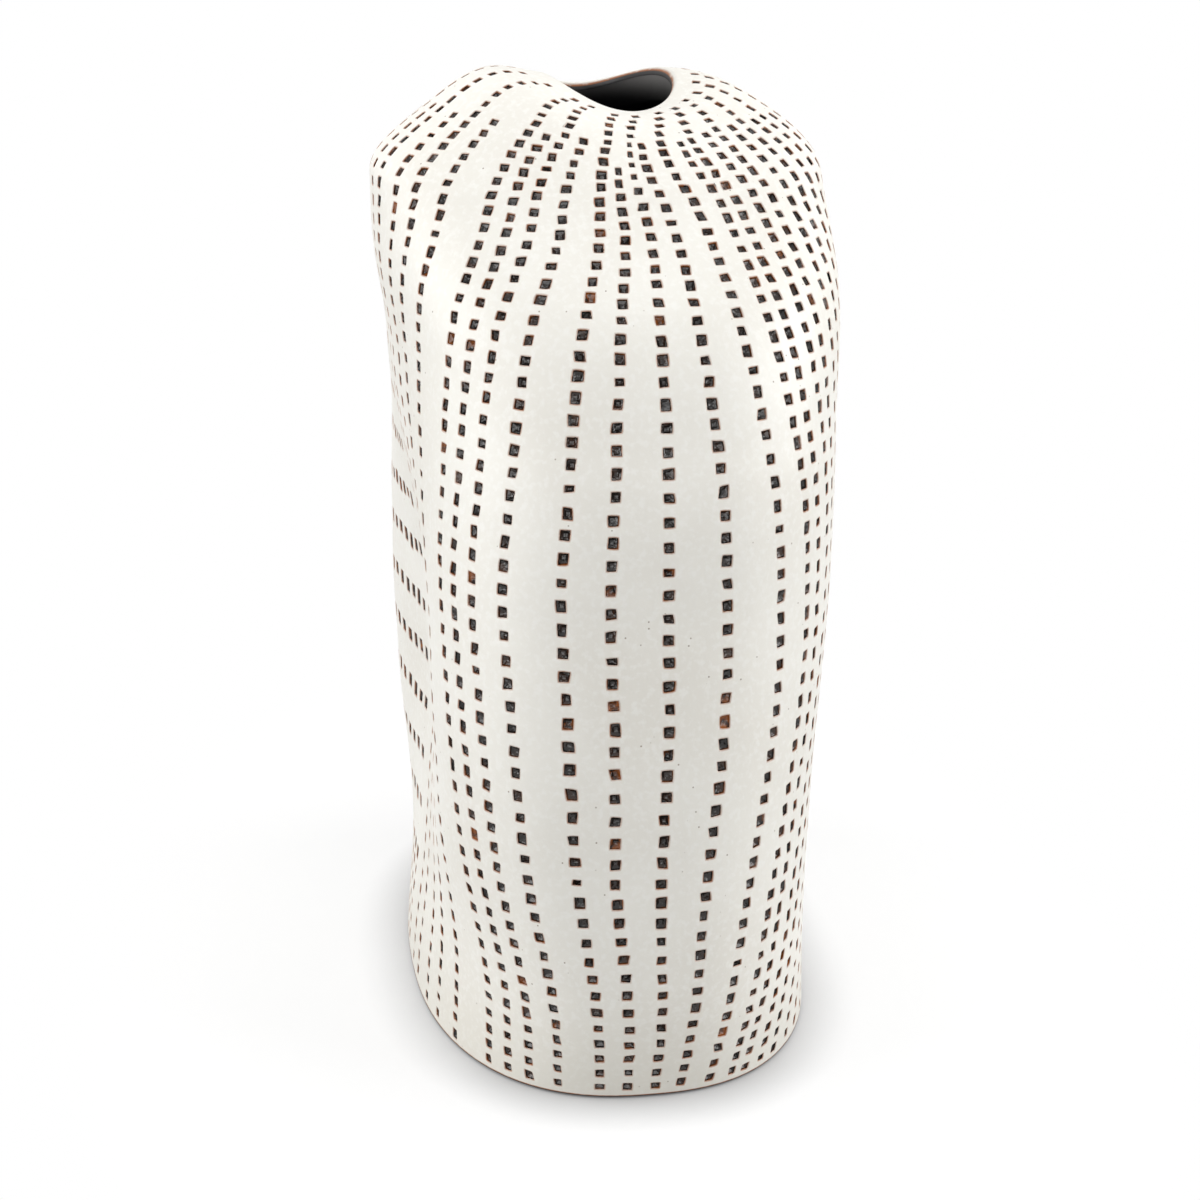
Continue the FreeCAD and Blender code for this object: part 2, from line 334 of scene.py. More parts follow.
# Painted reflection: towards the lip the glaze is painted grey, standing in for the white surroundings
# mirrored in it
high = between(tree, height_above(tree), 148 * MM, 154 * MM)
painted_reflection = times(tree, high, between(tree, cloud, 0.1, 0.5, 0.6, 1.0))
tree.links.new(tint(tree, painted_reflection, colour, GLAZE_PAINTED_REFLECTION), shader.inputs["Base Color"])
shader.inputs["Roughness"].default_value = 0.32
shader.inputs["Specular IOR Level"].default_value = 0.3
shader.inputs["Coat Weight"].default_value = 0.15
shader.inputs["Coat Roughness"].default_value = 0.12
ripple = noise(tree, scale=250.0)
tree.links.new(bumped(tree, ripple, strength=0.15, distance=0.3 * MM), shader.inputs["Normal"])

# From the slab's glaze up the wall and the dome, then the throat up to the lip's roll
rings = [layer_ring(run, LINING) for run in np.linspace(run_at_height(SLAB_TOP + GLAZE), 1, 40)]
rings[0][:, 2] = SLAB_TOP + GLAZE
rings += [layer_ring(run, LINING) for run in np.linspace(1, LINING_TOP_RUN, 20)[1:]]
for below in (LINING, THROAT_TOP):
    rings.append(dome_point(around, 1 + 0 * around) + inward(around) * THROAT_REACH - np.array((0, 0, below)))
for turn in (100.0, 80.0):
    roll, way = lip_roll(around, turn)
    rings.append(roll - way * UNDER_SLIP)
faces = [face[::-1] for face in ring_faces(len(rings), len(around))]
faces.append(tuple(range(len(around))))
lining = make_mesh("glaze_lining", np.concatenate(rings), faces)
lining.data.materials.append(black_glaze)
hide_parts("black_glaze_lining")
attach(lining, "root")


# White slip coat. Thick white slip over the whole outside, with rows of small square pits that the maker
# punched by hand from the foot up to the mouth, and that let the dark glaze through with a rust-brown edge.

# Where the rows that face the near end and the hollow stand at half height, in degrees
SEEN_ROWS = (-86.0, -80.5, -73.0, -67.0, -60.0, -49.5, -44.3, -38.8, -31.0, -18.2, -7.6, 5.3, 18.7, 32.4,
             41.2, 46.0, 51.5, 56.0, 61.0, 65.5, 70.0, 74.5)
# The other rows follow by rule, wider apart round the far end and closer on the hollow's far slope, with
# the middle and the spread of these two stretches. The last row stands a narrow gap before the first
ROW_STEP, FAR_END_WIDER, FAR_SLOPE_CLOSER = 4.7, 7.0, 1.0
WIDER_MIDDLE, WIDER_SPREAD = 180, 20
CLOSER_MIDDLE, CLOSER_SPREAD = 258, 14
LAST_GAP, LEAST_STEP = 3.6, 5
LAST_ROW = SEEN_ROWS[0] + 360 - LAST_GAP
row_angles = list(SEEN_ROWS)
while row_angles[-1] < LAST_ROW - LEAST_STEP:
    at = row_angles[-1]
    far_end, far_slope = bell((at - WIDER_MIDDLE) / WIDER_SPREAD), bell((at - CLOSER_MIDDLE) / CLOSER_SPREAD)
    step = ROW_STEP + FAR_END_WIDER * far_end - FAR_SLOPE_CLOSER * far_slope
    row_angles.append(at + step * rng.uniform(0.9, 1.1))
if len(row_angles) % 2:
    row_angles.append((row_angles[-1] + SEEN_ROWS[0] + 360) / 2)
ROWS = len(row_angles)
lane_angles = [row_angles[-1] - 360] + row_angles + [row_angles[0] + 360, row_angles[1] + 360]

# How far the rows draw together at each height, in degrees: all of them turn by the shift, and those left
# and right of the near end draw in by their own amounts
DRAW_RUNS = (0.0, 0.2, 0.45, 0.7, 0.88, 1.0, 1.3, 1.5, 1.78, 2.0)
DRAW_SHIFT = (-1.5, -1.5, 0.0, -3.0, -3.0, 1.5, 0.0, -1.5, -4.0, -5.0)
DRAW_LEFT = (6.0, 4.0, 0.0, -1.5, 4.0, 15.0, 18.0, 19.0, 12.0, 8.0)
DRAW_RIGHT = (20.0, 8.0, 0.0, 1.0, 12.0, 21.0, 24.0, 24.0, 20.0, 16.0)
DOME_CLIMB = 0.2

# The slip's face ends this far above the ground, and is wiped bare over this width above that
FOOT_WIPE, FOOT_EDGE = 0.5, 0.3
FIRST_RUN = run_at_height(FOOT_WIPE)
# The stain is 1 at full rust brown and turns black above that: 2 is bare. The lip's line is partly rusted
BARE, LIP_RUST = 2.0, 0.7
# Where on the lip's roll the rust begins, where the black begins and where it is full, in degrees
RUST_TURN, DARK_TURN, BLACK_TURN = 26, 44, 68
# The stain's width round a pit, its most as a share of half the pit, and the slip's dip at the pit's edge
STAIN_WIDTH, STAIN_SHARE, EDGE_DIP = 0.34, 0.28, 0.10
# The pits: their side and depth, how the side shrinks up the vase, and the way from one to the next
PIT_SIZE, PIT_DEPTH = 1.72, 0.8
PIT_SIZE_RUNS = (0.0, 0.15, 0.5, 1.0, 1.5, 2.0)
PIT_SIZE_SHARES = (0.88, 0.95, 1.0, 0.93, 0.82, 0.70)
PITCH_RUNS = (0.0, 0.2, 0.45, 0.7, 0.95, 1.2, 2.0)
PITCHES = (3.05, 3.35, 3.55, 3.5, 2.95, 2.6, 2.7)
# The first pit's height along a row, and the plain slip left below the crest
FIRST_PIT, TOP_MARGIN = 2.0, 2.2
# The hollow's far slope, where larger pits stand far apart and level from row to row
FAR_SLOPE_ANGLE, FAR_SLOPE_SPREAD, FAR_SLOPE_GROWTH = -103, 12, 1.3
FAR_SLOPE_FOOT, FAR_SLOPE_TOP = (0.08, 0.14), (0.82, 0.92)
# The way from level to level there. A level nearer than this share of it is passed over
FAR_PITCH, TOO_NEAR = run_at_height(9.3), 0.3
# A row's strip reaches this share of the way to the next row. A short row's strip narrows above its end,
# and the strips beside it take some of that room
STRIP_SHARE, ENDED_SHARE, TAKEN_SHARE = 0.38, 0.12, 0.22
# How close two rows may come before the one between them ends, and the run at which the others end
LEAST_ROW_GAP, LAST_RUN = 2.25, 1.90
# A cell is the piece of a strip round one pit: how far it reaches from the pit, and at a row's ends. The
# plain slip between cells goes up in steps
CELL_REACH, END_REACH, PLAIN_STEP = 1.9, 1.45, 1.6
# The slip left beside a pit, and the room that a pit takes with its stain, sideways and along the row
LEAST_SLIP, SIDE_ROOM, END_ROOM = 0.08, 1.3, 1.25
# How far the hand strays: in a pit's corners, skew and place, and below which half size it strays less
CORNER_STRAY, SKEW, PLACE_STRAY, FULL_HALF_SIZE = 0.055, 0.06, 0.04, 0.8
# How far a pit's corners are drawn in, as a share of its half size
BLUNTNESS = 0.07
# The same along a row, in millimetres for the first pit and a level one, and as a share of the pitch
FIRST_STRAY, LEVEL_STRAY, PITCH_STRAY = 0.35, 0.2, 0.035
# The same in a pit's half sizes. Pits are a little taller than wide, and this share of them is squat
WIDE_STRAY, TALL_STRAY, TALLER = 0.06, 0.10, 1.04
SQUAT_SHARE, SQUAT = 0.04, 0.68
# The share of pits whose glaze is burnt orange, and how far a pit's floor leans
ORANGE_SHARE, FLOOR_LEAN = 0.06, 0.10
# Small steps sideways and up a row, for the surface's slope at a pit
LANE_STEP, PLACE_STEP = 0.02, 0.3


def climbed(run):
    """The run on an even scale: the way up the dome is about a fifth of the way up the wall."""
    run = np.asarray(run, float)
    return np.minimum(run, 1) + DOME_CLIMB * np.maximum(run - 1, 0)


def lane_angle(lane, run):
    """The angle of a lane at a height. Whole lanes are the rows and the space between them is plain slip."""
    middle = np.interp(lane, np.arange(-1, ROWS + 2), lane_angles)
    turn = np.radians(middle)
    heights, height = climbed(DRAW_RUNS), climbed(run)
    left, right = through(heights, DRAW_LEFT, height), through(heights, DRAW_RIGHT, height)
    draw = left + (right - left) * (0.5 + 0.5 * np.sin(turn))
    near = 0.5 + 0.5 * np.cos(turn)
    return np.radians(middle + near * through(heights, DRAW_SHIFT, height) - draw * np.sin(2 * turn))


def lane_point(lane, run):
    """A point of the outer surface by its lane."""
    return surface(lane_angle(lane, run), run)


# The run at which each row ends: every other row stops where its neighbours come too close
ladder = np.linspace(0.5, 1.5, 101)
row_ends = np.full(ROWS, LAST_RUN)
for row in range(0, ROWS, 2):
    gap = np.linalg.norm(lane_point(row + 0.5, ladder) - lane_point(row - 0.5, ladder), axis=-1)
    tight = np.flatnonzero(gap < LEAST_ROW_GAP)
    row_ends[row] = ladder[tight[0]] if len(tight) else ladder[-1]


def fading(row, run):
    """0 while the row runs and 1 above its end."""
    return ease(row_ends[row % ROWS] + 0.01, row_ends[row % ROWS] + 0.09, run)


def strip_side(row, side, run):
    """The lane of a strip's left (-1) or right (1) edge, which gives way where a neighbour has ended."""
    own = fading(row, run) if row % 2 == 0 else 0 * run
    other = fading(row + side, run) if row % 2 else 0 * run
    return row + side * (STRIP_SHARE - (STRIP_SHARE - ENDED_SHARE) * own + TAKEN_SHARE * other)


class Layer:
    """Points of one layer, kept by lane and run until placed together, and the faces between them."""

    def __init__(self):
        self.lanes, self.runs, self.dips, self.marks, self.tilts = [], [], [], [], []
        self.faces = []
        self.count = 0

    def add(self, lanes, runs, dip=0.0, mark=0.0, tilt=0.0):
        """Adds points that dip under the surface, with their stain or rust and their tilt. Numbers them."""
        self.lanes.append(lanes)
        self.runs.append(runs)
        self.dips.append(np.full(len(lanes), dip))
        self.marks.append(np.full(len(lanes), mark))
        self.tilts.append(np.zeros((len(lanes), 3)) + tilt)
        self.count += len(lanes)
        return list(range(self.count - len(lanes), self.count))

    def placed(self):
        """The points on the vase, their normals, their marks and their angles."""
        runs = np.concatenate(self.runs)
        angles = lane_angle(np.concatenate(self.lanes), runs)
        normals = outward(angles, runs)
        points = surface(angles, runs) - normals * np.concatenate(self.dips)[:, None]
        return points, unit(normals + np.concatenate(self.tilts)), np.concatenate(self.marks), angles


slip, pits = Layer(), Layer()


def add_rung(row, run, stain=0.0):
    """Adds five points of the slip across a strip."""
    left, right = strip_side(row, -1, run), strip_side(row, 1, run)
    return slip.add(left + (right - left) * np.linspace(0, 1, 5), run + np.zeros(5), mark=stain)


def join_rungs(lower, upper):
    """Adds the slip between two rungs."""
    slip.faces.extend((lower[k], lower[k + 1], upper[k + 1], upper[k]) for k in range(4))


def tube(lower, upper):
    """The quads between two rings of points, or the triangles up to a single point."""
    count = len(lower)
    if len(upper) == 1:
        return [(lower[k], lower[(k + 1) % count], upper[0]) for k in range(count)]
    return [(lower[k], lower[(k + 1) % count], upper[(k + 1) % count], upper[k]) for k in range(count)]


# The runs at which a row is measured, from the foot to the shoulder and on to the crest
RUN_STEPS = np.concatenate([np.linspace(FIRST_RUN, 1, 200), np.linspace(1, 2, 140)[1:]])


class Row:
    """One row of pits. A place on it is in millimetres, walked up from the slip's lower edge."""

    def __init__(self, number):
        self.number = number
        self.middle = (row_angles[number] + 180) % 360 - 180
        path = lane_point(number + 0 * RUN_STEPS, RUN_STEPS)
        self.walked = np.concatenate([[0], np.cumsum(np.linalg.norm(np.diff(path, axis=0), axis=1))])
        self.places = self.stand_pits()
        # How the surface runs at each pit, for one lane sideways and for one millimetre up
        here = self.run_at(self.places)
        left, right = lane_point(number - LANE_STEP, here), lane_point(number + LANE_STEP, here)
        below = lane_point(number, self.run_at(self.places - PLACE_STEP))
        above = lane_point(number, self.run_at(self.places + PLACE_STEP))
        self.by_lane = (right - left) / (2 * LANE_STEP)
        self.by_place = (above - below) / (2 * PLACE_STEP)
        # The width of a lane on either side of each pit
        middle = lane_point(number, here)
        self.on_left = np.linalg.norm(left - middle, axis=1) / LANE_STEP
        self.on_right = np.linalg.norm(right - middle, axis=1) / LANE_STEP
        self.sideways = unit(self.by_lane)
        self.upways = np.cross(unit(np.cross(self.by_lane, self.by_place)), self.sideways)

    def run_at(self, place):
        """The run at a place."""
        return np.interp(place, self.walked, RUN_STEPS)

    def on_far_slope(self, run):
        """Whether the row crosses the far slope of the hollow at this height."""
        beside = bell((self.middle - FAR_SLOPE_ANGLE) / FAR_SLOPE_SPREAD)
        return beside * ease(*FAR_SLOPE_FOOT, run) * (1 - ease(*FAR_SLOPE_TOP, run)) > 0.5

    def stand_pits(self):
        """The places of the pits: a pitch apart, but sparse and level from row to row on the far slope."""
        place, places = FIRST_PIT + rng.uniform(-FIRST_STRAY, FIRST_STRAY), []
        while self.run_at(place) <= row_ends[self.number] and place < self.walked[-1] - TOP_MARGIN:
            places.append(place)
            here = float(self.run_at(place))
            if self.on_far_slope(here):
                level = (math.floor(here / FAR_PITCH + TOO_NEAR) + 1) * FAR_PITCH
                place = float(np.interp(level, RUN_STEPS, self.walked)) + rng.normal(0, LEVEL_STRAY)
            else:
                place += float(through(PITCH_RUNS, PITCHES, here)) * (1 + rng.normal(0, PITCH_STRAY))
        return np.array(places)

    def cells(self):
        """The lower and upper place of the cell round each pit."""
        cells = []
        for i, place in enumerate(self.places):
            low = (self.places[i - 1] + place) / 2 if i else max(place - END_REACH, FOOT_EDGE + 0.02)
            is_last = i + 1 == len(self.places)
            high = place + END_REACH if is_last else (place + self.places[i + 1]) / 2
            cells.append((max(place - CELL_REACH, low), min(place + CELL_REACH, high)))
        return cells

    def on_vase(self, i, flat):
        """Lanes and runs of points that are given in the plane of the row's pit i."""
        across, along = self.sideways[i], self.upways[i]
        unmix = np.linalg.inv([[self.by_lane[i] @ across, self.by_place[i] @ across],
                               [self.by_lane[i] @ along, self.by_place[i] @ along]])
        offsets = flat @ unmix.T
        lane_length = np.linalg.norm(self.by_lane[i])
        even = np.where(offsets[:, 0] > 0, lane_length / self.on_right[i], lane_length / self.on_left[i])
        return self.number + offsets[:, 0] * even, self.run_at(self.places[i] + offsets[:, 1])


def half_sizes(row, i, low, high):
    """Half the width and half the height of a row's pit i, within the room in its cell."""
    place = row.places[i]
    here = float(row.run_at(place))
    room = min(row.on_right[i] * (strip_side(row.number, 1, here) - row.number),
               row.on_left[i] * (row.number - strip_side(row.number, -1, here)))
    size = PIT_SIZE * float(through(PIT_SIZE_RUNS, PIT_SIZE_SHARES, here))
    if row.on_far_slope(here):
        size *= FAR_SLOPE_GROWTH
    wide = min(size / 2 * (1 + rng.normal(0, WIDE_STRAY)), (room - LEAST_SLIP) / SIDE_ROOM)
    squat = SQUAT if rng.random() < SQUAT_SHARE else 1.0
    tall = min(size / 2 * (TALLER + rng.normal(0, TALL_STRAY)) * squat,
               (min(place - low, high - place) - LEAST_SLIP) / END_ROOM)
    return wide, tall


# The sixteen places of a ring round a pit, on a square from -1 to 1, counted from its lower left corner
SIDE = np.array((-1.0, -0.5, 0.0, 0.5))
RING_U = np.concatenate([SIDE, np.ones(4), -SIDE, -np.ones(4)])
RING_V = np.concatenate([-np.ones(4), SIDE, np.ones(4), -SIDE])


def pit_plan(wide, tall):
    """The pit's outline in its own plane: a square with blunt corners, a little out of true by hand."""
    corners = rng.normal(0, CORNER_STRAY, (4, 2)) * min(1.0, wide / FULL_HALF_SIZE)
    pinch = rng.uniform(-0.02, 0.05, 4)
    turn = np.arange(16) / 4
    corner, mix = turn.astype(int), (turn % 1)[:, None]
    stray = corners[corner] * (1 - mix) + corners[(corner + 1) % 4] * mix
    pull = 1 - pinch[corner] * np.sin(math.pi * mix[:, 0]) - BLUNTNESS * (mix[:, 0] == 0)
    plan = np.stack([RING_U * wide * pull + rng.normal(0, SKEW) * RING_V * tall, RING_V * tall * pull], 1)
    return plan + stray + rng.normal(0, PLACE_STRAY, 2)


def punch(row, i, low, high, ring):
    """Punches a row's pit i into the slip, inside the ring of its cell's points, and lays its glaze."""
    wide, tall = half_sizes(row, i, low, high)
    plan = pit_plan(wide, tall)
    centre = plan.mean(0)
    spread = plan - centre
    reach = np.linalg.norm(spread, axis=1, keepdims=True)
    towards = unit(-(spread[:, :1] * row.sideways[i] + spread[:, 1:] * row.upways[i]))

    # Rings from the stain's outer edge to the pit's dipped edge: growth, dip, stain and tilt
    burnt = rng.uniform(0.55, 1.0)
    halo = min(STAIN_WIDTH, STAIN_SHARE * wide)
    for grown, dip, stain, tip in ((halo, 0.0, 0.0, 0.0), (0.3 * halo, 0.01, 0.55 * burnt, 0.2),
                                   (-0.02, 0.05, burnt, 0.7), (-0.08, EDGE_DIP, burnt, 1.2)):
        now = slip.add(*row.on_vase(i, centre + spread * (1 + grown / reach)), dip, stain, towards * tip)
        slip.faces.extend(tube(ring, now))
        ring = now

    # The glaze: steep sides down to a small slanted floor, by scale, dip and rust
    deep = PIT_DEPTH * min(1.0, wide / FULL_HALF_SIZE) * rng.uniform(0.85, 1.05)
    lean = rng.normal(0, FLOOR_LEAN, 2)
    orange = rng.uniform(0.7, 1.0) if rng.random() < ORANGE_SHARE else rng.uniform(0, 0.15)
    lower = None
    for scale, dip, rust in ((1 - 0.08 / reach, EDGE_DIP, max(0.9 * burnt, orange)),
                             (0.82, 0.5 * deep, orange), (0.36, 0.92 * deep, 0.7 * orange),
                             (0.0, deep, 0.3 * orange)):
        lanes, runs = row.on_vase(i, centre + spread * scale + lean * (dip / PIT_DEPTH))
        if dip == deep:
            lanes, runs = lanes[:1], runs[:1]
        now = pits.add(lanes, runs, dip, rust)
        if lower:
            pits.faces.extend(tube(lower, now))
        lower = now


def plain_slip(row, rung, at, to, left_edge, right_edge):
    """Adds plain slip above a rung, in steps from one place to another, and returns its last rung."""
    count = max(1, round((to - at) / PLAIN_STEP)) if to - at > 0.01 else 0
    for step in range(1, count + 1):
        run = float(row.run_at(at + (to - at) * step / count))
        above = add_rung(row.number, run)
        join_rungs(rung, above)
        left_edge.append((above[0], run))
        right_edge.append((above[4], run))
        rung = above
    return rung


# Each row from the wiped edge up: plain slip, a cell with its pit, and so on to the crest
left_edges, right_edges = [], []
for number in range(ROWS):
    row = Row(number)
    wiped, first = add_rung(number, FIRST_RUN, BARE), float(row.run_at(FOOT_EDGE))
    rung = add_rung(number, first)
    join_rungs(wiped, rung)
    left_edge = [(wiped[0], FIRST_RUN), (rung[0], first)]
    right_edge = [(wiped[4], FIRST_RUN), (rung[4], first)]
    at = FOOT_EDGE
    for i, (low, high) in enumerate(row.cells()):
        rung = plain_slip(row, rung, at, low, left_edge, right_edge)
        side_runs = row.run_at(low + (high - low) * np.array((0.25, 0.5, 0.75)))
        run_high = float(row.run_at(high))
        above = add_rung(number, run_high)
        right_side = slip.add(strip_side(number, 1, side_runs), side_runs)
        left_side = slip.add(strip_side(number, -1, side_runs), side_runs)
        left_edge += list(zip(left_side, side_runs.tolist())) + [(above[0], run_high)]
        right_edge += list(zip(right_side, side_runs.tolist())) + [(above[4], run_high)]
        punch(row, i, low, high, rung + right_side + above[::-1] + left_side[::-1])
        at, rung = high, above
    plain_slip(row, rung, at, row.walked[-1], left_edge, right_edge)
    left_edges.append(left_edge)
    right_edges.append(right_edge)

# The plain slip between one row's right edge and the next row's left edge
for row in range(ROWS):
    near, far = right_edges[row], left_edges[(row + 1) % ROWS]
    i = j = 0
    while i + 1 < len(near) or j + 1 < len(far):
        if j + 1 == len(far) or (i + 1 < len(near) and near[i + 1][1] <= far[j + 1][1]):
            slip.faces.append((near[i][0], far[j][0], near[i + 1][0]))
            i += 1
        else:
            slip.faces.append((near[i][0], far[j][0], far[j + 1][0]))
            j += 1

points, normals, stains, angles = slip.placed()
slip_points, slip_normals, slip_stains = [points], [normals], [stains]


def add_ring(points, normals, stain):
    """Adds a closed ring of points after all the others and numbers them."""
    slip_points.append(points)
    slip_normals.append(normals)
    slip_stains.append(np.full(len(points), stain))
    slip.count += len(points)
    return list(range(slip.count - len(points), slip.count))


# The lip's roll into the mouth: bare slip, then a rust-brown line, then black
top = [left_edges[row][-1][0] + k for row in range(ROWS) for k in range(5)]
top_angles = angles[top]
for turn in (12.0, 25.0, 40.0, 55.0, 70.0, 85.0, 96.0):
    stain = LIP_RUST * ease(RUST_TURN, DARK_TURN, turn)
    stain += (BARE - LIP_RUST) * ease(DARK_TURN, BLACK_TURN, turn)
    now = add_ring(*lip_roll(top_angles, turn), stain)
    slip.faces.extend(tube(top, now))
    top = now

# The foot's wiped edge, which rolls under: inset, drop and downward tilt
bottom = [left_edges[row][0][0] + k for row in range(ROWS) for k in range(5)]
foot, aside = points[bottom], normals[bottom]
for inset, drop, tip in ((0.12, 0.16, 0.7), (0.35, 0.2, 3.0), (0.85, 0.1, 6.0)):
    now = add_ring(foot - aside * inset - np.array((0, 0, drop)), unit(aside - np.array((0, 0, tip))), BARE)
    slip.faces.extend(tube(now, bottom))
    bottom = now

slip_coat = make_mesh("slip_coat", np.concatenate(slip_points), slip.faces)
slip_coat.data.normals_split_custom_set_from_vertices(np.concatenate(slip_normals).tolist())
stain_layer = slip_coat.data.attributes.new("stain", "FLOAT", "POINT")
stain_layer.data.foreach_set("value", np.concatenate(slip_stains))

SLIP_WHITE = (0.800, 0.784, 0.730)
SLIP_SHADE = (0.755, 0.733, 0.675)
SLIP_BRIGHT = (0.86, 0.855, 0.82)
# Painted shade: the darker, warmer tone that the slip is given near the foot
SLIP_PAINTED_FOOT_SHADE = (0.50, 0.475, 0.40)
SPECK_BROWN = (0.16, 0.10, 0.05)
RUST_BROWN = (0.300, 0.100, 0.028)
BARE_BLACK = (0.014, 0.013, 0.013)
white_slip, tree, shader = new_material("white_slip")
cloud = noise(tree, scale=38.0, detail=4.0)
fine = noise(tree, scale=1000.0, detail=3.0)
colour = tint(tree, between(tree, cloud, 0.35, 0.7), SLIP_WHITE, SLIP_SHADE)
colour = tint(tree, between(tree, fine, 0.45, 0.70, 0.0, 0.45), colour, SLIP_BRIGHT)
# Iron specks in a few of the cells of a fine pattern
pattern = tree.nodes.new("ShaderNodeTexVoronoi")
pattern.inputs["Scale"].default_value = 700.0
tree.links.new(object_place(tree), pattern.inputs["Vector"])
chosen = tree.nodes.new("ShaderNodeSeparateColor")
tree.links.new(pattern.outputs["Color"], chosen.inputs["Color"])
speck = times(tree, between(tree, pattern.outputs["Distance"], 0.06, 0.13, 1.0, 0.0),
              between(tree, chosen.outputs["Red"], 0.88, 0.92))
colour = tint(tree, times(tree, speck, 0.75), colour, SPECK_BROWN)
# Painted shade: the slip is darkened and warmed towards the foot
painted_foot_shade = between(tree, height_above(tree), 1 * MM, 22 * MM, 0.32, 0.0)
colour = tint(tree, painted_foot_shade, colour, SLIP_PAINTED_FOOT_SHADE)
# The stain, uneven while it is rust brown
stain = tree.nodes.new("ShaderNodeAttribute")
stain.attribute_name = "stain"
uneven = between(tree, noise(tree, scale=700.0, detail=3.0), 0.25, 0.6, 0.55, 1.0)
colour = tint(tree, times(tree, stain.outputs["Fac"], uneven), colour, RUST_BROWN)
colour = tint(tree, between(tree, stain.outputs["Fac"], 1.1, 1.8), colour, BARE_BLACK)
tree.links.new(colour, shader.inputs["Base Color"])
tree.links.new(between(tree, cloud, 0.3, 0.7, 0.42, 0.52), shader.inputs["Roughness"])
shader.inputs["Specular IOR Level"].default_value = 0.4
brushed = noise(tree, scale=240.0, detail=4.0)
tree.links.new(bumped(tree, brushed, strength=0.5, distance=0.25 * MM), shader.inputs["Normal"])
slip_coat.data.materials.append(white_slip)
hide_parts("white_slip_coat")
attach(slip_coat, "root")


# Glaze in the pits. The black glaze that shows in each punched pit, glossy, pooled over the tool's four
# slanted faces and burnt orange where it lies thin.

PIT_BLACK = (0.010, 0.008, 0.007)
BURNT_ORANGE = (0.30, 0.085, 0.012)
points, normals, rusts, angles = pits.placed()
pit_glaze = make_mesh("pit_glaze", points, pits.faces, smooth=False)
rust_layer = pit_glaze.data.attributes.new("rust", "FLOAT", "POINT")
rust_layer.data.foreach_set("value", rusts)
pit_black, tree, shader = new_material("pit_black")
rust = tree.nodes.new("ShaderNodeAttribute")
rust.attribute_name = "rust"
patch = between(tree, noise(tree, scale=800.0, detail=3.0), 0.40, 0.62)
colour = tint(tree, times(tree, rust.outputs["Fac"], patch), PIT_BLACK, BURNT_ORANGE)
tree.links.new(colour, shader.inputs["Base Color"])
shader.inputs["Roughness"].default_value = 0.13
shader.inputs["Specular IOR Level"].default_value = 0.5
rough = noise(tree, scale=1300.0)
tree.links.new(bumped(tree, rough, strength=0.8, distance=0.25 * MM), shader.inputs["Normal"])
pit_glaze.data.materials.append(pit_black)
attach(pit_glaze, "root")


# Floor. A white ground that runs on into the white background and keeps the vase's soft shadow from the
# lamps.
# It is a lit grey sheet that glows, with the glow dimmed close to the vase by ambient occlusion, a painted
# contact shadow, and it is plain white beyond an oval round the vase.

FLOOR_REACH = 4000.0
FLOOR_GREY, FLOOR_GLOW = 0.38, 0.62
PAINTED_SHADOW_REACH = 10 * MM
OVAL_HALF_LENGTH, OVAL_HALF_WIDTH = 60 * MM, 38 * MM
FADE_START, FADE_END = 1.5, 2.6
corners = [(-FLOOR_REACH, -FLOOR_REACH, 0), (FLOOR_REACH, -FLOOR_REACH, 0),
           (FLOOR_REACH, FLOOR_REACH, 0), (-FLOOR_REACH, FLOOR_REACH, 0)]
floor = make_mesh("floor", corners, [(0, 1, 2, 3)])


def white_rays(tree):
    """A socket that is 1 for rays that see the white ground: from the camera, off gloss and through glass."""
    ray = tree.nodes.new("ShaderNodeLightPath")
    seen = ray.outputs["Is Camera Ray"]
    for other in ("Is Glossy Ray", "Is Transmission Ray"):
        either = tree.nodes.new("ShaderNodeMath")
        either.operation = "MAXIMUM"
        tree.links.new(seen, either.inputs[0])
        tree.links.new(ray.outputs[other], either.inputs[1])
        seen = either.outputs[0]
    return seen


ground, tree, shader = new_material("ground")
tree.nodes.remove(shader)
output = tree.nodes["Material Output"]
seen = white_rays(tree)
# Painted contact shadow: ambient occlusion dims the floor's glow close to the vase
painted_contact_shadow = tree.nodes.new("ShaderNodeAmbientOcclusion")
painted_contact_shadow.inputs["Distance"].default_value = PAINTED_SHADOW_REACH
lit = tree.nodes.new("ShaderNodeBsdfDiffuse")
lit.inputs["Color"].default_value = (FLOOR_GREY, FLOOR_GREY, FLOOR_GREY, 1)
glow = tree.nodes.new("ShaderNodeEmission")
glow.inputs["Color"].default_value = (1, 1, 1, 1)
tree.links.new(times(tree, times(tree, seen, FLOOR_GLOW), painted_contact_shadow.outputs["AO"]), glow.inputs["Strength"])
white = tree.nodes.new("ShaderNodeEmission")
tree.links.new(seen, white.inputs["Strength"])
both = tree.nodes.new("ShaderNodeAddShader")
tree.links.new(lit.outputs[0], both.inputs[0])
tree.links.new(glow.outputs[0], both.inputs[1])
oval = tree.nodes.new("ShaderNodeVectorMath")
oval.operation = "MULTIPLY"
oval.inputs[1].default_value = (1 / OVAL_HALF_LENGTH, 1 / OVAL_HALF_WIDTH, 0)
tree.links.new(object_place(tree), oval.inputs[0])
length = tree.nodes.new("ShaderNodeVectorMath")
length.operation = "LENGTH"
tree.links.new(oval.outputs[0], length.inputs[0])
blend = tree.nodes.new("ShaderNodeMixShader")
tree.links.new(between(tree, length.outputs["Value"], FADE_START, FADE_END), blend.inputs["Fac"])
tree.links.new(both.outputs[0], blend.inputs[1])
tree.links.new(white.outputs[0], blend.inputs[2])
tree.links.new(blend.outputs[0], output.inputs["Surface"])
floor.data.materials.append(ground)


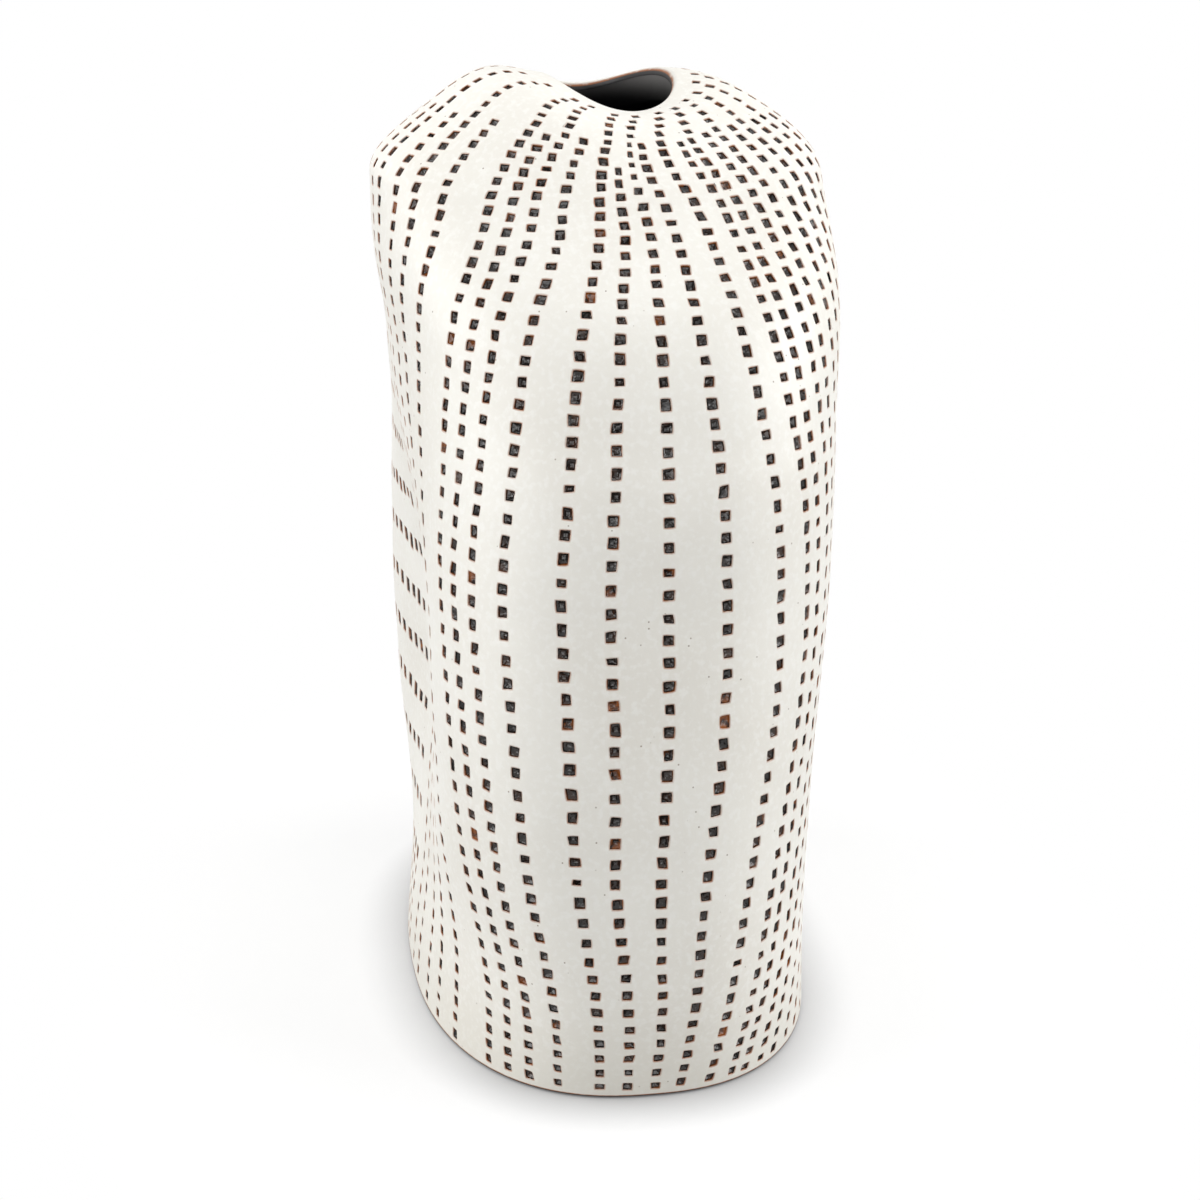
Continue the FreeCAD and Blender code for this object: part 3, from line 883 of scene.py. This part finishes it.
# Light. The white world shows only to the camera and in glossy surfaces, and lights nothing else.
# Six broad lamps light the vase: overhead, behind, in front, at the left front and on both sides.

world = bpy.data.worlds.new("studio")
bpy.context.scene.world = world
world.use_nodes = True
tree = world.node_tree
sky = tree.nodes["Background"]
tree.links.new(white_rays(tree), sky.inputs["Strength"])
sky.inputs["Color"].default_value = (1, 1, 1, 1)

# Directions of the photo's view: out towards the camera, to its right, its upward side and level towards it
AZIMUTH, ELEVATION = math.radians(81.52), math.radians(18.64)
OUT = np.array((math.sin(AZIMUTH) * math.cos(ELEVATION), -math.cos(AZIMUTH) * math.cos(ELEVATION),
                math.sin(ELEVATION)))
RIGHT = np.array((math.cos(AZIMUTH), math.sin(AZIMUTH), 0.0))
UPWARDS = np.cross(OUT, RIGHT)
LEVEL_OUT = np.array((OUT[0], OUT[1], 0)) / math.cos(ELEVATION)
VASE_MIDDLE = np.array((0, 0, 0.08))


def add_lamp(name, aside, ahead, up, size, power):
    """A lamp that faces the vase's middle, placed to the camera's right, towards the camera and up."""
    light = bpy.data.lights.new(name, "AREA")
    light.shape = "RECTANGLE"
    light.size, light.size_y = size
    light.energy = power
    lamp = bpy.data.objects.new(name, light)
    bpy.context.scene.collection.objects.link(lamp)
    place = RIGHT * aside + LEVEL_OUT * ahead + np.array((0, 0, up))
    back = unit(place - VASE_MIDDLE)
    side = unit(np.cross(np.array((0, 0, 1.0)) + 0.01 * RIGHT, back))
    lamp.matrix_world = Matrix((*zip(side, np.cross(back, side), back, place), (0, 0, 0, 1)))


add_lamp("overhead", aside=0, ahead=0, up=0.75, size=(0.6, 0.6), power=2.44)
add_lamp("high_back", aside=0, ahead=-0.45, up=0.65, size=(0.7, 0.5), power=1.47)
add_lamp("low_front", aside=0, ahead=0.8, up=0.20, size=(0.8, 0.4), power=2.26)
add_lamp("left_bank", aside=-0.75, ahead=0.1, up=0.28, size=(0.8, 0.6), power=5.20)
add_lamp("right_bank", aside=0.75, ahead=0.1, up=0.28, size=(0.8, 0.6), power=6.91)
add_lamp("left_front", aside=-0.55, ahead=0.55, up=0.15, size=(0.6, 0.4), power=1.66)


# Camera. Slightly above the near end, as in the photo, with a short telephoto view.
# It looks at a point a little to the right of the vase's axis and below its middle.

SENSOR_WIDTH, LENS = 36.0, 76.8
TARGET_HEIGHT, TARGET_ASIDE, DISTANCE = 65.5, 0.2, 439.5
camera_data = bpy.data.cameras.new("camera")
camera = bpy.data.objects.new("camera", camera_data)
bpy.context.scene.collection.objects.link(camera)
camera_data.sensor_width = SENSOR_WIDTH
camera_data.lens = LENS
camera_data.clip_start = 0.02
camera_data.clip_end = 20.0
target = np.array((0, 0, TARGET_HEIGHT)) * MM + RIGHT * TARGET_ASIDE * MM
eye = target + OUT * DISTANCE * MM
camera.matrix_world = Matrix((*zip(RIGHT, UPWARDS, OUT, eye), (0, 0, 0, 1)))
bpy.context.scene.camera = camera
bpy.context.scene.view_settings.view_transform = "Standard"
